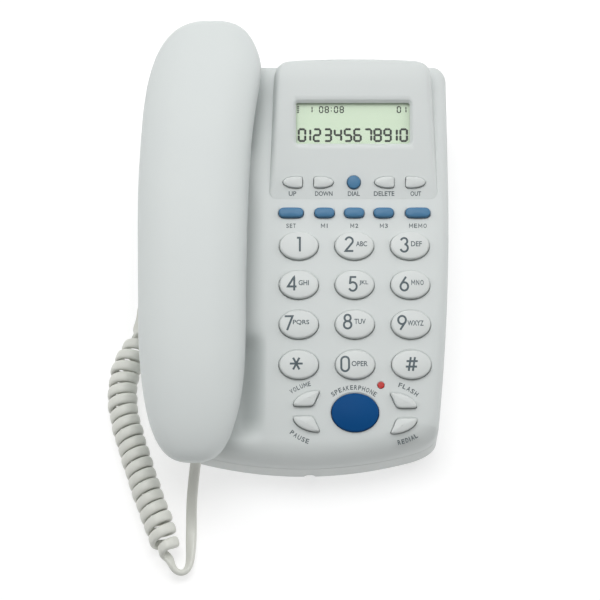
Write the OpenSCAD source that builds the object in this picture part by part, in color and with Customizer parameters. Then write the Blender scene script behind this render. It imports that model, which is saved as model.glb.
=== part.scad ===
// Corded desk telephone: a sloping base with a display hood and a keypad, a handset in a
// cradle on the left, and a curly handset cord. Units are millimetres. X is to the right,
// Y to the rear and Z up, and the origin is the centre of the object's footprint.

/* [Base] */
// Width of the base
base_w = 143.8; // [140:0.2:146]
// Length of the base, front to rear
base_len = 200; // [198:1:202]
// Wall thickness of the base shells
wall = 2.5; // [2.2:0.1:2.6]
// Height of the joint line between the two base shells
split_z = 16; // [15.5:0.1:16.5]
// Height of the feet, which is the gap under the lower shell
foot_h = 3; // [2.5:0.1:3.2]
// Height of the deck at its datum line
deck_h = 40; // [39:0.5:42]
// Slope of the deck at its datum line, in degrees
deck_tilt = 9.5; // [9:0.1:10]
// Crown radius of the deck, seen from the side
crown_r = 1600; // [1400:50:2400]

/* [Display] */
// Slope of the hood's face, in degrees
hood_tilt = 17; // [16:0.1:17.5]
// Width of the window
window_w = 56.4; // [50:0.2:57]
// Depth of the window, along the slope
window_d = 20.6; // [18:0.2:21]

/* [Keys] */
// Width of a dial key
dial_w = 19.8; // [18:0.1:20]
// Depth of a dial key
dial_d = 15; // [13:0.1:15.4]
// Distance between dial key columns
pitch_x = 27.1; // [26.8:0.1:27.3]
// Distance between dial key rows
pitch_y = 19.6; // [19.2:0.1:19.8]
// Travel of a key when it is pressed
key_travel = 1.2; // [0.6:0.1:1.2]
// Gap all round a key in its opening
key_gap = 0.35; // [0.3:0.05:0.5]

/* [Handset] */
// Length of the handset
handset_len = 223; // [221:0.5:224]
// Width of the handset at its middle
handset_w = 52; // [50:0.5:53]
// Height of the crown of the handset's back above its seam datum
handset_crown = 12; // [11:0.5:13]
// Slope of the handset as it lies in the cradle, in degrees
handset_tilt = 8.4; // [8.2:0.1:8.6]
// Wall thickness of the handset shells
handset_wall = 2.2; // [1.8:0.1:2.4]

/* [Cord] */
// Outer diameter of the curly cord's coil
coil_od = 15.5; // [14:0.5:15.5]
// Width of the cord itself
cord_w = 5.2; // [4.6:0.1:5.6]

/* [Hidden] */
eps = 0.01;

// Base plan: the centre line, the front arc and the sides that taper towards the front.
base_cx = 3.6;
half_w = base_w / 2;
front_y = -5 - base_len / 2;
rear_y = -5 + base_len / 2;
front_r = 190;
taper_y = 33;
taper_k = 2166;
rear_corner = 7;
floor_top = foot_h + wall;
lip_gap = 0.4;
lip_w = 1.6;

// Deck: a shallow crown through the datum line, rounded down at the front and rear.
datum_y = -31;
edge_r = 9;

// Cradle: the inner wall of the trough, and the depths of its wells and its middle.
trough_x = -18.5;
cup_t = -22;
well_gap = 0.8;
grip_t = -9;
trough_t = -19;

// Display hood.
hood_y = 24;
hood_z = 48.3;
hood_wall = 2.2;
hood_x = [-13.2, 70];
hood_rear = 94.4;
window_c = [28.3, 38.3];
button_w = 8.3;

// Keypad.
dial_c = [28.6, 0];
proud = 2.4;
key_foot = -6;
mat_top = -8.4;
mat_h = 1.2;
board_h = 1.6;
dome_h = 0.8;
dome_r = 2.4;
pill_y = 16.8;
pill_x = [-2.3, 14.1, 28.7, 43.2, 59.9];
pill_w = [13.2, 10.8, 10.8, 10.8, 13.2];
pill_d = 5.7;
button_x = [-1.6, 13.8, 28.6, 43.5, 59.1];
button_size = [10.6, 6.4];
speaker_c = [28.5, -81.7];
speaker_size = [23.5, 19.5];
corner_c = [[4.7, -75.1], [4.7, -87.2], [52.2, -76], [52.2, -88.1]];
led_c = [41, -68.5];
board_x = [-13, 60.5];
board_w = [-62, 54];
post_x = [15.05, 42.15];
post_w = [21.4, -17.6];

// Handset, in its own tilted frame: s runs along it and t is square to its back.
hs_y = -0.2;
hs_z = 58.5;
hs_half_len = handset_len / 2;
hs_mid_x = -49.5;
seam_t = -3;
cup_inset = 2.5;
end_angle = 142.3;
jack_s = -102.5;
jack_t = -10.5;

// Screws, feet, cells and jacks.
base_screw_at = [[-55, -66], [63.9, -76], [-56, 60], [67, 86]];
foot_at = [[-48, -86], [55, -88], [-58, 82], [64, 68]];
foot_r = 6;
cell_r = 5.25;
cell_len = 44.5;
cell_x = [18, 29.5, 41];
cell_y = 45.8;
cell_z = 10.5;
line_c = [-10, 24.2];
cord_jack_y = -14;
cord_jack_z = 10;
plunger_c = [-40, 70];
hs_screw_s = [34, -34];

// Cord: the axis of the coil, then the leads to the base and to the handset.
coil_path = [[-77.5, -30], [-80.5, -39.5], [-84.5, -53], [-85.3, -66], [-83.5, -77], [-80.5, -87.5],
    [-77.3, -97.5], [-73.7, -108], [-70, -118], [-65.8, -128], [-61.5, -138], [-58.5, -145]];
base_lead_path = [[-70.6, -14, 10], [-73, -14.1, 10], [-75.6, -15.6, 9.6], [-77, -18.6, 8.9],
    [-77.1, -22.5, 8.2], [-77, -26.5, 7.8], [-77.5, -29.9, 7.75]];
handset_lead_path = [[-58.2, -145.9, 7.7], [-57.5, -147.7, 7.3], [-57, -150, 5.8], [-56, -152.4, 4.4],
    [-53.7, -153.4, 3.4], [-51.2, -152, 2.8], [-49.7, -149, 2.7], [-48.6, -144, 2.7], [-48.9, -138, 2.7],
    [-49.5, -131, 2.9], [-49.8, -124.5, 5], [-49.6, -118.5, 9.4], [-49.2, -113, 14.8], [-48.4, -108.4, 20.2],
    [-47.7, -105, 24.6], [-47.3, -103, 27.9], [-47.1, -101.9, 29.9]];

// ---- curves -------------------------------------------------------------------------

function bezier(a, b, c, u) = (1 - u) * (1 - u) * a + 2 * u * (1 - u) * b + u * u * c;
function deck(y) = deck_h + tan(deck_tilt) * (y - datum_y) - pow(y - datum_y, 2) / (2 * crown_r);
function sag(y) = pow(y - datum_y, 2) / (2 * crown_r) * cos(deck_tilt);
function hood_face(y) = hood_z + tan(hood_tilt) * (y - hood_y);
function side_x(y) = half_w - (y < taper_y ? pow(taper_y - y, 2) / taper_k : 0);
function front_at(x) = front_y + pow(x, 2) / (2 * front_r);
function oval(w, d, n = 32) = [for (i = [0 : n - 1]) [w / 2 * cos(360 * i / n), d / 2 * sin(360 * i / n)]];
function corner(x, y, r, a0, n = 5) = [for (i = [0 : n]) [x + r * cos(a0 + 90 * i / n), y + r * sin(a0 + 90 * i / n)]];
function round_rect(w, d, r) = concat(corner(w / 2 - r, d / 2 - r, r, 0), corner(r - w / 2, d / 2 - r, r, 90),
    corner(r - w / 2, r - d / 2, r, 180), corner(w / 2 - r, r - d / 2, r, 270));

// Right half of the base outline, rear to front, moved inwards by d.
function half_outline(d) = concat(
    [for (i = [0 : 5]) bezier([half_w - d - rear_corner, rear_y - d], [half_w - d, rear_y - d],
        [half_w - d, rear_y - d - rear_corner], i / 5)],
    [for (y = [30 : -20 : -70]) [side_x(y) - d, y]],
    [for (i = [0 : 7]) bezier([side_x(-88) - d, -88], [side_x(-97) - d, front_at(64) + d],
        [52, front_at(52) + d], i / 7)],
    [for (x = [40 : -13 : 1]) [x, front_at(x) + d]]);
function mirrored(p) = [for (i = [len(p) - 1 : -1 : 0]) [-p[i][0], p[i][1]]];
function base_outline(d) = concat(half_outline(d), mirrored(half_outline(d)));

// Side profile of the upper case, lowered by d.
function edge_drop(y, d) = let (r = edge_r - 0.6 * d, a = front_y + d + r - y, b = y - (rear_y - d - r))
    a > 0 ? r - sqrt(max(0, r * r - a * a)) : b > 0 ? r - sqrt(max(0, r * r - b * b)) : 0;
function deck_profile(d) = let (y0 = front_y + d, y1 = rear_y - d) concat([[y0, 0]],
    [for (k = [0, 0.3, 1, 2.2, 4, 6.5]) [y0 + k, deck(y0 + k) - d - edge_drop(y0 + k, d)]],
    [for (y = [front_y + 11 : 15 : rear_y - 12]) [y, deck(y) - d]],
    [for (k = [9, 6.5, 4, 2.2, 1, 0.3, 0]) [y1 - k, deck(y1 - k) - d - edge_drop(y1 - k, d)]], [[y1, 0]]);

// Floor of the cradle, in the handset's frame, lowered by d, and closed high above it.
function cradle_profile(d) = [[-125, -5 - d], [-110, -6.5 - d], [-88.8, cup_t - well_gap - d],
    [-50, cup_t - well_gap - d], [-46, trough_t - d], [46, trough_t - d], [50, cup_t - well_gap - d],
    [88.8, cup_t - well_gap - d], [110, -6.5 - d], [125, -5 - d], [125, 45], [-125, 45]];

// Half width of the handset at s, and the bow of its centre line.
function hs_half(s) = s > 70.5 ? (handset_w / 2 + 1) * pow(max(0, 1 - pow((s - 70.5) / 41, 2.5)), 0.4)
    : s < -29.5 ? handset_w / 2 * pow(max(0, 1 - pow((-29.5 - s) / 82, 2.8)), 1 / 2.8)
    : handset_w / 2 + (s + 29.5) / 100;
function hs_bow(s) = hs_mid_x + 0.00045 * pow(s + 30, 2);
function hs_side(d, sgn) = [for (i = [0 : 22]) let (a = 180 * i / 22, s = -(hs_half_len - d) * cos(a),
    h = max(0.4, hs_half(s * hs_half_len / (hs_half_len - d)) - d)) [hs_bow(s) + sgn * h, s]];
function reversed(p) = [for (i = [len(p) - 1 : -1 : 0]) p[i]];
function hs_outline(d) = concat(hs_side(d, 1), reversed(hs_side(d, -1)));
function hs_back(s, d) = (handset_crown - d) * pow(max(0, 1 - pow(abs(s) / (hs_half_len - d), 3)), 1 / 3);
function hs_profile(d) = let (e = hs_half_len) concat(
    [for (i = [0 : 20]) let (s = -(e - d) * cos(180 * i / 20)) [s, hs_back(s, d)]],
    [[e - d, seam_t], [e - 2.5 - 1.3 * d, -6 + d / 2], [88 - 0.3 * d, cup_t + d], [52 + d, cup_t + d],
     [40 + d, grip_t + d], [-40 - d, grip_t + d], [-52 - d, cup_t + d], [-88 + 0.3 * d, cup_t + d],
     [-e + 1.5 + 1.3 * d, -6 + d / 2], [-e + d, seam_t]]);

// ---- frames and shared solids -----------------------------------------------------------

// Extrudes an outline drawn in Y and Z along X.
module along_x(x0, x1) translate([x0, 0, 0]) rotate([90, 0, 90]) linear_extrude(x1 - x0) children();
module block(a, b) translate(a) cube(b - a);
module in_handset() translate([0, hs_y, hs_z]) rotate([handset_tilt, 0, 0]) children();
module in_hood() translate([0, hood_y, hood_z]) rotate([hood_tilt, 0, 0]) children();
module in_board() translate([0, datum_y, deck_h]) rotate([deck_tilt, 0, 0]) children();
module on_deck(c) translate([c[0], c[1], deck(c[1])]) rotate([deck_tilt, 0, 0]) children();
module base_plan(d, z0, z1) translate([base_cx, 0, z0]) linear_extrude(z1 - z0) polygon(base_outline(d));
module cradle(d) in_handset() along_x(-95, trough_x + d) polygon(cradle_profile(d));
module base_hull(d, z0) difference() {
    intersection() {
        base_plan(d, z0, 75);
        along_x(-80, 85) polygon(deck_profile(d));
    }
    cradle(d);
}

// Outlines of the keys, grown by g.
module dial_outline(g) polygon(oval(dial_w + 2 * g, dial_d + 2 * g));
module speaker_outline(g) polygon(oval(speaker_size[0] + 2 * g, speaker_size[1] + 2 * g));
module pill_outline(w, g) polygon(round_rect(w + 2 * g, pill_d + 2 * g, 2.4 + g));
module button_outline(side, g) scale([side, 1]) intersection() {
    translate([2, 0]) polygon(oval(14.6 + 2 * g, button_size[1] + 2 * g));
    translate([-8, -5]) square([8 + button_size[0] / 2 + g, 10]);
}
module corner_outline(side_x, side_y, g) scale([side_x, side_y]) difference() {
    intersection() {
        translate([6.5, -4.1]) polygon(oval(26.6 + 2 * g, 16.6 + 2 * g, 40));
        translate([-9, -4.1 - g]) square([18, 20]);
    }
    translate([23.8, -6.6]) polygon(oval(39.2 - 2 * g, 36 - 2 * g, 56));
}

// A key on the deck: the cap, with a wider flange below the case. Child 0 is the cap's
// outline and child 1 the flange's.
module deck_key(c) on_deck(c) {
    translate([0, 0, key_foot + sag(c[1])]) linear_extrude(proud - key_foot - sag(c[1])) children(0);
    translate([0, 0, key_foot + sag(c[1])]) linear_extrude(-wall - 0.4 - key_foot - sag(c[1])) children(1);
}
module deck_hole(c) on_deck(c) translate([0, 0, -7]) linear_extrude(14) children();

// A button on the hood, which works in the same way along the hood's own slope.
module hood_key(i) in_hood() translate([button_x[i], button_w, -6]) {
    linear_extrude(7.8) children(0);
    linear_extrude(1.1) children(1);
}
module hood_hole(i) in_hood() translate([button_x[i], button_w, -6]) linear_extrude(14) children();

// All openings that keys need, through the case or the hood.
module deck_key_holes() {
    for (i = [0 : 11]) deck_hole(dial_at(i)) dial_outline(key_gap);
    for (i = [0 : 4]) deck_hole([pill_x[i], pill_y]) pill_outline(pill_w[i], key_gap);
    deck_hole(speaker_c) speaker_outline(key_gap);
    for (i = [0 : 3]) deck_hole(corner_c[i]) corner_outline(i < 2 ? 1 : -1, i % 2 == 0 ? 1 : -1, key_gap);
    on_deck(led_c) translate([0, 0, -7]) cylinder(h = 14, r = 1.75, $fn = 24);
}
module hood_key_holes() {
    for (i = [0, 1, 3, 4]) hood_hole(i) button_outline(i == 0 || i == 3 ? 1 : -1, key_gap);
    hood_hole(2) circle(r = 3.6 + key_gap, $fn = 40);
}
function dial_at(i) = [dial_c[0] + (i % 3 - 1) * pitch_x, dial_c[1] - floor(i / 3) * pitch_y];

// ---- base shells ----------------------------------------------------------------------

module base_upper_case() color([0.86, 0.88, 0.87]) difference() {
    union() {
        difference() {
            base_hull(0, split_z);
            base_hull(wall, 0);
        }
        intersection() {
            base_hull(0.5, 9);
            union() {
                for (p = base_screw_at) translate([p[0], p[1], 10.2]) cylinder(h = 70, r = 3.3, $fn = 32);
                in_board() for (x = post_x, w = post_w) translate([x, w, mat_top - mat_h]) cylinder(h = 10, r = 1.5, $fn = 24);
            }
        }
    }
    for (p = base_screw_at) translate([p[0], p[1], 9]) cylinder(h = 12, r = 1.45, $fn = 24);
    deck_key_holes();
    hood_key_holes();
    block([-9, 38, 30], [66, 88, 70]);
    block([line_c[0] - 6.2, 88, line_c[1] - 5.4], [line_c[0] + 6.2, 99, line_c[1] + 5.5]);
    block([57.4, 88, 20.3], [66.6, 99, 24.3]);
    block([plunger_c[0] - 6.5, plunger_c[1] - 4, 30], [plunger_c[0] + 6.5, plunger_c[1] + 4, 60]);
}

module base_lower_case() color([0.82, 0.84, 0.83]) difference() {
    union() {
        difference() {
            base_plan(0, foot_h, split_z);
            base_plan(wall, floor_top, split_z + 1);
        }
        difference() {
            union() {
                base_plan(wall - eps, split_z - 4, split_z);
                base_plan(wall + lip_gap, split_z - eps, split_z + 2);
            }
            base_plan(wall + lip_w, split_z - 5, split_z + 3);
            block([line_c[0] - 8, 88, 0], [line_c[0] + 8, 99, 40]);
            block([-75, cord_jack_y - 7, 0], [-60, cord_jack_y + 7, 40]);
            for (p = base_screw_at) translate([p[0], p[1], 0]) cylinder(h = 40, r = 3.8, $fn = 32);
        }
        for (p = base_screw_at) translate([p[0], p[1], foot_h + eps]) cylinder(h = 10 - foot_h, r = 4.5, $fn = 32);
        block([4, 41, foot_h + eps], [55, rear_y - wall - 0.2, 18.5]);
        translate([plunger_c[0], plunger_c[1], floor_top - eps]) cylinder(h = 14 - floor_top, r = 4, $fn = 32);
    }
    for (p = base_screw_at) {
        translate([p[0], p[1], 0]) cylinder(h = 20, r = 1.7, $fn = 24);
        translate([p[0], p[1], 0]) cylinder(h = 5.2, r = 3.3, $fn = 32);
    }
    block([9.5, 43.6, 5], [49.5, 91.4, 17]);
    block([7.9, 43, 0], [51.1, 99, 5.2]);
    block([5.9, 43, 3.9], [53.1, 99, 5.2]);
    block([-75, cord_jack_y - 5.2, cord_jack_z - 4.2], [-60, cord_jack_y + 5.2, cord_jack_z + 4.4]);
    for (i = [-3 : 3]) block([29 + 6 * i, -48 + 2 * abs(i), 0], [31.4 + 6 * i, -18 - 2 * abs(i), 8]);
    block([3.6, -108, 0], [10.9, -103, 4.6]);
}

// ---- display hood and what is under it --------------------------------------------------

function hood_side(x, inward, d) = [for (y = [hood_y : 14 : 80]) [x + inward * (d + 2.2 * (y - hood_y) / 60), y]];
function hood_rear_corner(x, inward, d) = [for (i = [0 : 5]) bezier([x + inward * (d + 2.2), hood_rear - 9],
    [x + inward * (d + 2.6), hood_rear - d], [x + inward * (d + 10), hood_rear - d], i / 5)];
function hood_outline(d) = concat(hood_side(hood_x[0], 1, d), hood_rear_corner(hood_x[0], 1, d),
    reversed(hood_rear_corner(hood_x[1], -1, d)), reversed(hood_side(hood_x[1], -1, d)));
function hood_top() = [for (y = [80, 84, 87, 89.5, 91.5, 93.4, 94.4]) [y, hood_face(y) - 0.011 * pow(y - 80, 2)]];

module display_hood() color([0.88, 0.9, 0.89]) difference() {
    intersection() {
        translate([0, 0, 40]) linear_extrude(45) polygon(hood_outline(0));
        along_x(-30, 90) polygon(concat([[hood_y, deck(hood_y) + 0.03]], hood_top(),
            [for (y = [94.4 : -10 : 34]) [y, deck(y) + 0.03]]));
    }
    intersection() {
        translate([0, 0, 30]) linear_extrude(55) polygon(hood_outline(hood_wall));
        along_x(-30, 90) polygon(concat([[38, 40], [38, hood_face(38) - 2.3], [84, hood_face(84) - 2.3]],
            [[91.6, hood_face(84) - 3], [91.6, 40]]));
    }
    hood_key_holes();
    in_hood() translate([window_c[0] - window_w / 2, window_c[1] - window_d / 2, -8]) cube([window_w, window_d, 12]);
}

module lcd_lens() color([0.8, 0.88, 0.75, 0.4]) in_hood()
    block([window_c[0] - window_w / 2 - 2, window_c[1] - window_d / 2 - 2, -3.4],
        [window_c[0] + window_w / 2 + 2, window_c[1] + window_d / 2 + 2, -hood_wall - 0.1]);

module lcd_panel() color([0.78, 0.88, 0.62]) in_hood()
    block([window_c[0] - window_w / 2 - 2.8, window_c[1] - window_d / 2 - 2.8, -6.2],
        [window_c[0] + window_w / 2 + 2.8, window_c[1] + window_d / 2 + 2.8, -3.5]);

module display_board() color([0.1, 0.4, 0.2]) in_hood() block([-8.4, 2, -9.9], [65.4, 60, -8.3]);

// ---- electronics in the base --------------------------------------------------------------

module main_board() color([0.1, 0.4, 0.2]) in_board() difference() {
    block([board_x[0], board_w[0], mat_top - mat_h - board_h], [board_x[1], board_w[1], mat_top - mat_h]);
    for (x = post_x, w = post_w) translate([x, w, -20]) cylinder(h = 20, r = 0.8, $fn = 24);
}

module keypad_mats() color([0.3, 0.32, 0.34]) {
    difference() {
        union() {
            in_board() block([board_x[0], board_w[0], mat_top - mat_h], [board_x[1], board_w[1] - 2, mat_top]);
            for (i = [0 : 11]) dome(dial_at(i));
            for (i = [0 : 4]) dome([pill_x[i], pill_y]);
            dome(speaker_c);
            for (c = corner_c) dome(c);
        }
        in_board() for (x = post_x, w = post_w) translate([x, w, -20]) cylinder(h = 20, r = 1.9, $fn = 24);
        on_deck(led_c) translate([0, 0, -20]) cylinder(h = 20, r = 1.9, $fn = 24);
    }
    in_hood() block([-8, 3, -8.3], [65, 14, -7.4]);
}
module dome(c) on_deck(c) translate([0, 0, mat_top + sag(c[1]) - eps]) cylinder(h = dome_h + eps, r = dome_r, $fn = 24);

module loudspeaker() color([0.2, 0.2, 0.22]) translate([30.2, -33, floor_top]) {
    cylinder(h = 4, r = 22.5, $fn = 64);
    translate([0, 0, 4]) cylinder(h = 4.5, r = 15, $fn = 48);
    translate([0, 0, 8.5]) cylinder(h = 6, r = 11, $fn = 48);
}

module base_microphone() color([0.25, 0.25, 0.27]) translate([7.2, -97.4, floor_top + 3.1])
    rotate([90, 0, 0]) cylinder(h = 4.4, r = 3, $fn = 32);

module status_led() color([0.85, 0.15, 0.12]) on_deck(led_c) {
    translate([0, 0, mat_top - mat_h + sag(led_c[1])]) cylinder(h = 0.3 - mat_top + mat_h - sag(led_c[1]), r = 1.6, $fn = 32);
}

module battery_cells() color([0.75, 0.6, 0.25]) for (x = cell_x) translate([x, cell_y, cell_z]) rotate([-90, 0, 0]) {
    cylinder(h = cell_len - 1, r = cell_r, $fn = 48);
    cylinder(h = cell_len, r = 1.9, $fn = 24);
}

module battery_contacts() color([0.8, 0.8, 0.82]) for (x = cell_x) {
    block([x - 4, cell_y + cell_len + 0.1, cell_z - 4], [x + 4, cell_y + cell_len + 0.6, cell_z + 4]);
    block([x - 4, 43.7, cell_z - 4], [x + 4, 44.2, cell_z + 4]);
    translate([x, 44.2, cell_z]) rotate([-90, 0, 0]) cylinder(h = cell_y - 44.3, r = 3, $fn = 32);
}

// ---- hook switch ----------------------------------------------------------------------------

module hook_plunger() color([0.8, 0.82, 0.81]) translate([plunger_c[0], plunger_c[1], 0]) difference() {
    union() {
        block([-6, -3.5, 26], [6, 3.5, 60]);
        block([-8, -5.5, 34], [8, 5.5, 36]);
    }
    translate([-plunger_c[0], -plunger_c[1], 0]) in_handset() block([-90, 0, cup_t - 0.5], [0, 110, 40]);
}
module hook_spring() color([0.75, 0.75, 0.78]) translate([plunger_c[0], plunger_c[1], 14]) difference() {
    cylinder(h = 12, r = 3, $fn = 32);
    translate([0, 0, -1]) cylinder(h = 14, r = 2.3, $fn = 32);
}
module hook_switch() color([0.15, 0.15, 0.17]) translate([plunger_c[0] + 9, plunger_c[1] - 6, floor_top]) {
    cube([7, 12, 16]);
    translate([-4, 3, 14]) cube([4 + eps, 6, 1]);
}

// ---- jacks, plugs and the cord --------------------------------------------------------------

module line_jack() color([0.3, 0.32, 0.34]) translate([line_c[0], 0, line_c[1]]) difference() {
    union() {
        block([-7, 78, -6.5], [7, 92.3, 6.6]);
        block([-5.9, 92, -5.1], [5.9, 94.8, 5.2]);
    }
    block([-5.1, 82, -3.7], [5.1, 96, 3.4]);
    block([-2.2, 82, -4.6], [2.2, 96, 0]);
}

module cord_jack() color([0.3, 0.32, 0.34]) translate([0, cord_jack_y, cord_jack_z]) difference() {
    union() {
        block([-64.4, -6.5, -4.5], [-52, 6.5, 5.2]);
        block([-66.9, -5, -4], [-64.3, 5, 4.2]);
    }
    block([-70, -3.9, -3.4], [-56, 3.9, 3.4]);
}
module base_plug() color([0.85, 0.87, 0.86]) translate([0, cord_jack_y, cord_jack_z]) block([-70.6, -3.75, -3.15], [-57, 3.75, 3.15]);

module at_handset_jack() in_handset() translate([hs_bow(jack_s), jack_s, jack_t]) rotate([end_angle, 0, 0]) children();
module handset_jack() color([0.3, 0.32, 0.34]) at_handset_jack() difference() {
    block([-5.2, -4.6, -11.5], [5.2, 4.6, 0.3]);
    block([-3.9, -3.4, -9.5], [3.9, 3.4, 5]);
}
module handset_plug() color([0.85, 0.87, 0.86]) at_handset_jack() block([-3.75, -3.15, -9], [3.75, 3.15, 3.6]);

// Sweeps a round tube along a path: one ring square to the path at each point.
function unit(v) = v / norm(v);
function tangent(p, i) = unit(p[min(i + 1, len(p) - 1)] - p[max(i - 1, 0)]);
function ring(c, t, r, n) = let (a = unit(cross(t, [0, 0, 1])), b = cross(a, t))
    [for (k = [0 : n - 1]) c + r * cos(360 * (k + 0.5) / n) * a + r * sin(360 * (k + 0.5) / n) * b];
module tube(p, r, n) {
    m = len(p);
    polyhedron(
        points = [for (i = [0 : m - 1]) each ring(p[i], tangent(p, i), r, n)],
        faces = concat([[for (k = [0 : n - 1]) k]], [[for (k = [n - 1 : -1 : 0]) (m - 1) * n + k]],
            [for (i = [0 : m - 2], k = [0 : n - 1])
                [i * n + k, (i + 1) * n + k, (i + 1) * n + (k + 1) % n, i * n + (k + 1) % n]]));
}
module cord_coil() color([0.8, 0.81, 0.78]) tube([for (p = coil_path) [p[0], p[1], coil_od / 2]], coil_od / 2, 12);
module cord_base_lead() color([0.8, 0.81, 0.78]) tube(base_lead_path, cord_w / 2, 8);
module cord_handset_lead() color([0.8, 0.81, 0.78]) tube(handset_lead_path, cord_w / 2, 8);

// ---- small base parts -------------------------------------------------------------------------

module base_feet() color([0.2, 0.2, 0.2]) for (p = foot_at) translate([p[0], p[1], 0]) cylinder(h = foot_h, r = foot_r, $fn = 40);
module screw(head_r, shank_r, shank_len) {
    difference() {
        cylinder(h = 1.8, r = head_r, $fn = 32);
        block([-2, -0.4, -1], [2, 0.4, 0.8]);
        block([-0.4, -2, -1], [0.4, 2, 0.8]);
    }
    translate([0, 0, 1.7]) cylinder(h = shank_len, r = shank_r, $fn = 24);
}
module base_screws() color([0.7, 0.7, 0.72]) for (p = base_screw_at) translate([p[0], p[1], 3.4]) screw(3, 1.4, 14);

module battery_door() color([0.82, 0.84, 0.83]) difference() {
    union() {
        block([8.2, 43.3, foot_h], [50.8, 94.7, 4.9]);
        block([6.2, 43.3, 4.2], [52.8, 94.7, 4.9]);
    }
    for (i = [0 : 4]) block([22, 80 + 2.4 * i, 2], [37, 81 + 2.4 * i, 3.5]);
}

module ringer_switch() color([0.3, 0.32, 0.34]) {
    block([58, 91, 20.7], [62, 96.4, 23.9]);
    block([55.4, 90, 19], [64.6, 92.1, 26.6]);
}

// ---- keys -------------------------------------------------------------------------------------

module dial_key(i) color([0.87, 0.89, 0.88]) deck_key(dial_at(i)) {
    dial_outline(0);
    dial_outline(1.2);
}
module pill_key(i) color([0.28, 0.48, 0.66]) deck_key([pill_x[i], pill_y]) {
    pill_outline(pill_w[i], 0);
    pill_outline(pill_w[i], 0.8);
}
module hood_button(i, side) color([0.87, 0.89, 0.88]) hood_key(i) {
    button_outline(side, 0);
    button_outline(side, 1);
}
module key_dial() color([0.2, 0.44, 0.68]) hood_key(2) {
    circle(r = 3.6, $fn = 40);
    circle(r = 4.8, $fn = 40);
}
module key_speaker() color([0.1, 0.3, 0.55]) deck_key(speaker_c) {
    speaker_outline(0);
    speaker_outline(1.2);
}
module corner_key(i) color([0.87, 0.89, 0.88]) deck_key(corner_c[i]) {
    corner_outline(i < 2 ? 1 : -1, i % 2 == 0 ? 1 : -1, 0);
    corner_outline(i < 2 ? 1 : -1, i % 2 == 0 ? 1 : -1, 0.8);
}

// ---- handset ------------------------------------------------------------------------------------

// The whole handset without its hollow, moved inwards by d. The cups are narrower than the grip.
module handset_body(d) intersection() {
    along_x(-90, -10) polygon(hs_profile(d));
    union() {
        translate([0, 0, grip_t + d]) linear_extrude(30) polygon(hs_outline(d));
        translate([0, 0, -30]) linear_extrude(30 + grip_t + d + eps) polygon(hs_outline(cup_inset + d));
    }
}
module handset_shell() difference() {
    handset_body(0);
    handset_body(handset_wall);
}
module handset_outer_shell() color([0.86, 0.88, 0.87]) in_handset() difference() {
    union() {
        intersection() {
            handset_shell();
            block([-90, -120, seam_t], [-10, 120, 30]);
        }
        for (s = hs_screw_s) translate([hs_bow(s), s, -1.8]) cylinder(h = 12, r = 3.2, $fn = 32);
    }
    for (s = hs_screw_s) translate([hs_bow(s), s, -4]) cylinder(h = 10, r = 1.45, $fn = 24);
}
module handset_inner_shell() color([0.86, 0.88, 0.87]) in_handset() difference() {
    union() {
        intersection() {
            handset_shell();
            block([-90, -120, -30], [-10, 120, seam_t]);
        }
        for (s = hs_screw_s) translate([hs_bow(s), s, grip_t + 0.5]) cylinder(h = 6.6, r = 4.4, $fn = 32);
    }
    for (s = hs_screw_s) {
        translate([hs_bow(s), s, -30]) cylinder(h = 30, r = 1.7, $fn = 24);
        translate([hs_bow(s), s, -30]) cylinder(h = 30 + grip_t + 2.1, r = 3.3, $fn = 32);
    }
    for (a = [0 : 60 : 300]) translate([hs_bow(70) + 6 * cos(a), 70 + 6 * sin(a), -30]) cylinder(h = 12, r = 1.1, $fn = 16);
    for (i = [-2 : 2]) translate([hs_bow(-70) + 3 * i, -70, -30]) cylinder(h = 12, r = 0.8, $fn = 16);
    translate([hs_bow(jack_s), jack_s, jack_t]) rotate([end_angle, 0, 0]) block([-5.4, -4.8, -5], [5.4, 4.8, 8]);
}
module receiver_capsule() color([0.2, 0.2, 0.22]) in_handset() translate([hs_bow(70), 70, cup_t + handset_wall]) {
    cylinder(h = 3, r = 14, $fn = 48);
    cylinder(h = 8, r = 8, $fn = 40);
}
module handset_microphone() color([0.25, 0.25, 0.27]) in_handset() translate([hs_bow(-70), -70, cup_t + handset_wall])
    cylinder(h = 6, r = 5, $fn = 32);
module handset_screws() color([0.7, 0.7, 0.72]) in_handset() for (s = hs_screw_s)
    translate([hs_bow(s), s, grip_t + 0.2]) screw(3, 1.4, 10);

base_upper_case();
base_lower_case();
display_hood();
lcd_lens();
lcd_panel();
display_board();
main_board();
keypad_mats();
loudspeaker();
base_microphone();
hook_switch();
hook_spring();
line_jack();
cord_jack();
battery_cells();
battery_contacts();
base_feet();
base_screws();
status_led();
cord_coil();
cord_base_lead();
base_plug();
hook_plunger();
battery_door();
ringer_switch();
dial_key(0);  // key_1
dial_key(1);  // key_2
dial_key(2);  // key_3
dial_key(3);  // key_4
dial_key(4);  // key_5
dial_key(5);  // key_6
dial_key(6);  // key_7
dial_key(7);  // key_8
dial_key(8);  // key_9
dial_key(9);  // key_star
dial_key(10);  // key_0
dial_key(11);  // key_hash
hood_button(0, 1);  // key_up
hood_button(1, -1);  // key_down
key_dial();
hood_button(3, 1);  // key_delete
hood_button(4, -1);  // key_out
pill_key(0);  // key_set
pill_key(1);  // key_m1
pill_key(2);  // key_m2
pill_key(3);  // key_m3
pill_key(4);  // key_memo
key_speaker();
corner_key(0);  // key_volume
corner_key(1);  // key_pause
corner_key(2);  // key_flash
corner_key(3);  // key_redial
handset_outer_shell();
handset_inner_shell();
receiver_capsule();
handset_microphone();
handset_screws();
handset_jack();
handset_plug();
cord_handset_lead();
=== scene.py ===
import math

import bmesh
import bpy
import numpy as np
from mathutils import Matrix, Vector, geometry
from mathutils.bvhtree import BVHTree


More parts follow.
